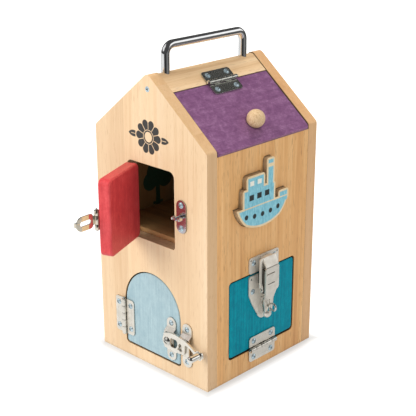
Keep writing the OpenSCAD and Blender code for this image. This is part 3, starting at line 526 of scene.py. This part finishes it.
M["strike"] = metal("strike_nickel", lin(240, 235, 225), lin(228, 222, 210), 0.46, wave=0.03, spots=0.05, seed=9.0, crease_shade=0.0010, plated=0.45)
M["lid_hinge"] = metal("lid_hinge_nickel", lin(214, 214, 206), lin(204, 204, 196), 0.26, wave=0.004, seed=10.0, grit=0.0, uneven=0.12)
M["hasp"] = metal("hasp_polished", lin(232, 224, 208), lin(220, 210, 192), 0.05, wave=0.015, seed=8.0, grit=0.01)
M["knob_plate"] = metal("knob_plate", lin(198, 196, 200), lin(188, 186, 190), 0.17, wave=0.02, seed=11.0, crease_shade=0.0012, grit=0.01)
M["pins"] = metal("bright_pins", lin(224, 222, 214), lin(200, 198, 190), 0.18, wave=0.03, seed=4.0, crease_shade=0.0012)
M["zinc"] = metal("zinc_screws", lin(206, 224, 232), lin(182, 204, 214), 0.24, wave=0.03, seed=5.0, crease_shade=0.0014, plated=0.62)

# ---------------------------------------------------------------- which node gets which material
USE = {
    "front": ["front_panel"], "back": ["back_panel"], "left": ["left_side_panel"], "right": ["right_side_panel"],
    "base": ["base_panel"], "shelf": ["middle_shelf"], "blocks": ["blue_door_stop", "teal_door_stop"],
    "roof": ["left_roof_panel"], "ridge": ["ridge_beam"], "knob": ["lid_knob"], "purple": ["roof_lid"],
    "red": ["red_door"], "blue": ["blue_door"], "teal": ["teal_door"], "boat": ["puzzle_block"],
    "chrome": ["carry_handle"], "fittings": ["turn_knob", "lever_knob", "swivel_eye"],
    "nickel": ["red_hinge_frame_leaf", "red_hinge_door_leaf", "blue_hinge_frame_leaf", "blue_hinge_door_leaf",
               "teal_hinge_frame_leaf", "teal_hinge_door_leaf", "lever_plate", "lever_keeper"],
    "nickel_bright": ["latch_lever"], "lid_hinge": ["lid_hinge_frame_leaf", "lid_hinge_lid_leaf"],
    "toggle": ["toggle_lever"], "tbase": ["toggle_base"], "strike": ["toggle_strike", "toggle_claw"], "hasp": ["hasp_leaf", "hasp_base"], "knob_plate": ["turn_knob_plate"],
    "pins": ["lid_hinge_pin", "red_hinge_pin", "blue_hinge_pin", "teal_hinge_pin", "hasp_pin", "lever_rivet",
             "toggle_pivot_pin", "claw_rivets"],
    "zinc": ["gable_screws", "handle_screws", "lid_knob_screw", "lid_screws", "red_door_screws", "blue_door_screws",
             "teal_door_screws", "frame_hinge_screws", "frame_plate_screws"],
}
BEVEL = {"front": 1.9, "back": 1.9, "right": 0.6, "left": 0.6, "ridge": 0.5, "roof": 0.5, "purple": 0.7,
         "nickel": 0.22, "nickel_bright": 0.35, "toggle": 0.3, "tbase": 0.22, "strike": 0.22, "lid_hinge": 0.25, "hasp": 0.22, "knob_plate": 0.25, "base": 0.6, "shelf": 0.8, "blocks": 0.8, "boat": 0.5}
done = set()
for key, names in USE.items():
    for n in names:
        o = N[n]
        done.add(n)
        o.data.materials.clear()
        o.data.materials.append(M[key])
        if key in BEVEL:
            w = o.modifiers.new("weld", "WELD")
            w.merge_threshold = 0.00001
            b = o.modifiers.new("soft_edges", "BEVEL")
            b.width = BEVEL[key] * MM
            b.segments = 3
            b.limit_method = "ANGLE"
            b.angle_limit = math.radians(40)
            b.use_clamp_overlap = True
            b.harden_normals = True
            b.miter_outer = "MITER_ARC"
left = sorted(set(N) - done)
if left:
    raise RuntimeError("no material for %s" % left)

# ---------------------------------------------------------------- floor, light and camera
floor_mesh = bpy.data.meshes.new("floor")
S = 14.0
floor_mesh.from_pydata([(-S, -S, 0), (S, -S, 0), (S, S, 0), (-S, S, 0)], [], [(0, 1, 2, 3)])
floor = bpy.data.objects.new("floor", floor_mesh)
bpy.context.scene.collection.objects.link(floor)
g = Mat("floor_paper", rough=0.9, spec=0.1)
fx, fy, fz = g.sep(g.obj)
fl = g.noise(g.obj, 3.0, 2, 0.5)
flp = g.t.nodes.new("ShaderNodeLightPath")
# the floor glows white for the camera, with a painted contact shadow: the glow drops to half within 16 mm of the box
near = g.math("MAXIMUM", g.math("SUBTRACT", g.math("ABSOLUTE", fx), HW * MM), g.math("SUBTRACT", g.math("ABSOLUTE", fy), HD * MM))
glow_with_contact_shadow = g.map(near, 0.0, 0.016, 0.46, 0.92, smooth=True)
# what the metal sees of the room's floor: a white sweep that ends in the dark
fr = g.math("SQRT", g.math("ADD", g.math("MULTIPLY", fx, fx), g.math("MULTIPLY", fy, fy)))
side_l = g.math("DIVIDE", g.math("SUBTRACT", g.math("MULTIPLY", fy, -0.766), g.math("MULTIPLY", fx, 0.643)), g.math("MAXIMUM", fr, 0.01))
side_r = g.math("DIVIDE", g.math("ADD", g.math("MULTIPLY", fy, 0.29), g.math("MULTIPLY", fx, 0.956)), g.math("MAXIMUM", fr, 0.01))
far = g.math("ADD", 0.03, g.math("ADD", g.map(side_l, 0.47, 0.743, 0.0, 0.85, smooth=True), g.map(side_r, 0.75, 0.97, 0.0, 0.16, smooth=True)))
inner = g.map(g.math("SUBTRACT", fx, g.math("MULTIPLY", fy, -1.0)), -0.05, 0.15, 1.0, 0.62, smooth=True)
seen = g.math("ADD", g.math("MULTIPLY", g.map(fr, 0.46, 0.62, 1.0, 0.0, smooth=True), g.math("SUBTRACT", inner, far)), far)
gl = flp.outputs["Is Glossy Ray"]
di = flp.outputs["Is Diffuse Ray"]
power = g.math("ADD", g.math("MULTIPLY", g.math("SUBTRACT", 1.0, g.math("ADD", gl, di)), glow_with_contact_shadow), g.math("MULTIPLY", gl, seen))
power = g.math("ADD", power, g.math("MULTIPLY", di, 0.42))
g.put(g.b.inputs["Emission Color"], (1.0, 1.0, 0.995, 1))
g.put(g.b.inputs["Emission Strength"], power)
paper = g.ramp(fl, [(0.3, (0.33, 0.33, 0.328, 1)), (0.7, (0.35, 0.35, 0.348, 1))])
floor_mesh.materials.append(g.finish(g.mix(gl, paper, (0.0, 0.0, 0.0, 1))))

scene = bpy.context.scene
world = bpy.data.worlds.new("studio")
scene.world = world
world.use_nodes = True
wt = world.node_tree
wt.nodes.clear()
wout = wt.nodes.new("ShaderNodeOutputWorld")
lp = wt.nodes.new("ShaderNodeLightPath")
tcw = wt.nodes.new("ShaderNodeTexCoord")
sepw = wt.nodes.new("ShaderNodeSeparateXYZ")
wt.links.new(tcw.outputs["Generated"], sepw.inputs[0])


def wmath(op, a, b=0.0):
    n = wt.nodes.new("ShaderNodeMath")
    n.operation = op
    for i, v in enumerate((a, b)):
        if isinstance(v, bpy.types.NodeSocket):
            wt.links.new(v, n.inputs[i])
        else:
            n.inputs[i].default_value = v
    return n.outputs[0]


# what the metal mirrors: a dark room with a soft box behind on the right and a
# dimmer one in front on the left
def wmap(v, a, b, c=0.0, d=1.0):
    n = wt.nodes.new("ShaderNodeMapRange")
    n.clamp = True
    n.interpolation_type = "SMOOTHSTEP"
    wt.links.new(v, n.inputs["Value"])
    for k, x in (("From Min", a), ("From Max", b), ("To Min", c), ("To Max", d)):
        n.inputs[k].default_value = x
    return n.outputs["Result"]


def soft_box(az, half, z0, z1, power):
    # az: direction in degrees from +X towards +Y, half: half of its width
    ca, sa = math.cos(math.radians(az)), math.sin(math.radians(az))
    flat = wmath("SQRT", wmath("ADD", wmath("MULTIPLY", sepw.outputs[0], sepw.outputs[0]),
                               wmath("MULTIPLY", sepw.outputs[1], sepw.outputs[1])))
    along = wmath("DIVIDE", wmath("ADD", wmath("MULTIPLY", sepw.outputs[0], ca), wmath("MULTIPLY", sepw.outputs[1], sa)),
                  wmath("MAXIMUM", flat, 0.001))
    a = wmap(along, math.cos(math.radians(half + 5)), math.cos(math.radians(half - 5)))
    b = wmap(sepw.outputs[2], z0 - 0.04, z0 + 0.04)
    c = wmap(sepw.outputs[2], z1 - 0.04, z1 + 0.04, 1.0, 0.0)
    return wmath("MULTIPLY", wmath("MULTIPLY", a, wmath("MULTIPLY", b, c)), power)


room = wmath("ADD", 0.07, wmath("ADD", soft_box(47, 29, 0.12, 0.60, 1.1), soft_box(-128, 36, 0.30, 0.86, 0.85)))
room_rgb = wt.nodes.new("ShaderNodeCombineColor")
for i in range(3):
    wt.links.new(room, room_rgb.inputs[i])
bg_gloss = wt.nodes.new("ShaderNodeBackground")
wt.links.new(room_rgb.outputs[0], bg_gloss.inputs[0])
bg_gloss.inputs[1].default_value = 1.0
bg_soft = wt.nodes.new("ShaderNodeBackground")
bg_soft.inputs[0].default_value = (1.0, 0.985, 0.965, 1)
bg_soft.inputs[1].default_value = 0.62
bg_cam = wt.nodes.new("ShaderNodeBackground")
bg_cam.inputs[0].default_value = (1, 1, 1, 1)
m1 = wt.nodes.new("ShaderNodeMixShader")
wt.links.new(lp.outputs["Is Glossy Ray"], m1.inputs[0])
wt.links.new(bg_soft.outputs[0], m1.inputs[1])
wt.links.new(bg_gloss.outputs[0], m1.inputs[2])
m2 = wt.nodes.new("ShaderNodeMixShader")
wt.links.new(lp.outputs["Is Camera Ray"], m2.inputs[0])
wt.links.new(m1.outputs[0], m2.inputs[1])
wt.links.new(bg_cam.outputs[0], m2.inputs[2])
wt.links.new(m2.outputs[0], wout.inputs[0])


def aim(o, target):
    d = Vector(target) - o.location
    o.rotation_euler = d.to_track_quat("-Z", "Y").to_euler()


def sun(name, frm, strength, angle, colour=(1, 1, 1)):
    d = bpy.data.lights.new(name, "SUN")
    d.energy = strength
    d.angle = math.radians(angle)
    d.color = colour
    o = bpy.data.objects.new(name, d)
    o.location = frm
    aim(o, (0, 0, 0.15))
    o.visible_glossy = False
    scene.collection.objects.link(o)
    return o


sun("key", (-0.9, -2.0, 1.5), 2.1, 44, (1.0, 0.985, 0.97))
sun("side", (2.2, -0.9, 1.2), 0.30, 60, (1.0, 0.98, 0.96))
sun("top", (-0.35, 0.9, 1.9), 1.55, 24, (1.0, 0.99, 0.97))

az, el, roll = math.radians(43.91072), math.radians(20.31186), math.radians(-0.12664)
back = Vector((math.sin(az) * math.cos(el), -math.cos(az) * math.cos(el), math.sin(el)))
right = (-back).cross(Vector((0, 0, 1))).normalized()
upv = right.cross(-back)
r2 = right * math.cos(roll) + upv * math.sin(roll)
u2 = -right * math.sin(roll) + upv * math.cos(roll)
cam_data = bpy.data.cameras.new("camera")
cam_data.lens = 86.967
cam_data.sensor_width = 36
cam_data.clip_start = 0.01
cam_data.clip_end = 60
cam = bpy.data.objects.new("camera", cam_data)
cam.matrix_world = Matrix((
    (r2.x, u2.x, back.x, 0.66522),
    (r2.y, u2.y, back.y, -0.68927),
    (r2.z, u2.z, back.z, 0.50413),
    (0, 0, 0, 1)))
scene.collection.objects.link(cam)
scene.camera = cam
scene.view_settings.view_transform = "Standard"
scene.view_settings.look = "None"
scene.view_settings.exposure = 0.0
scene.view_settings.gamma = 1.0
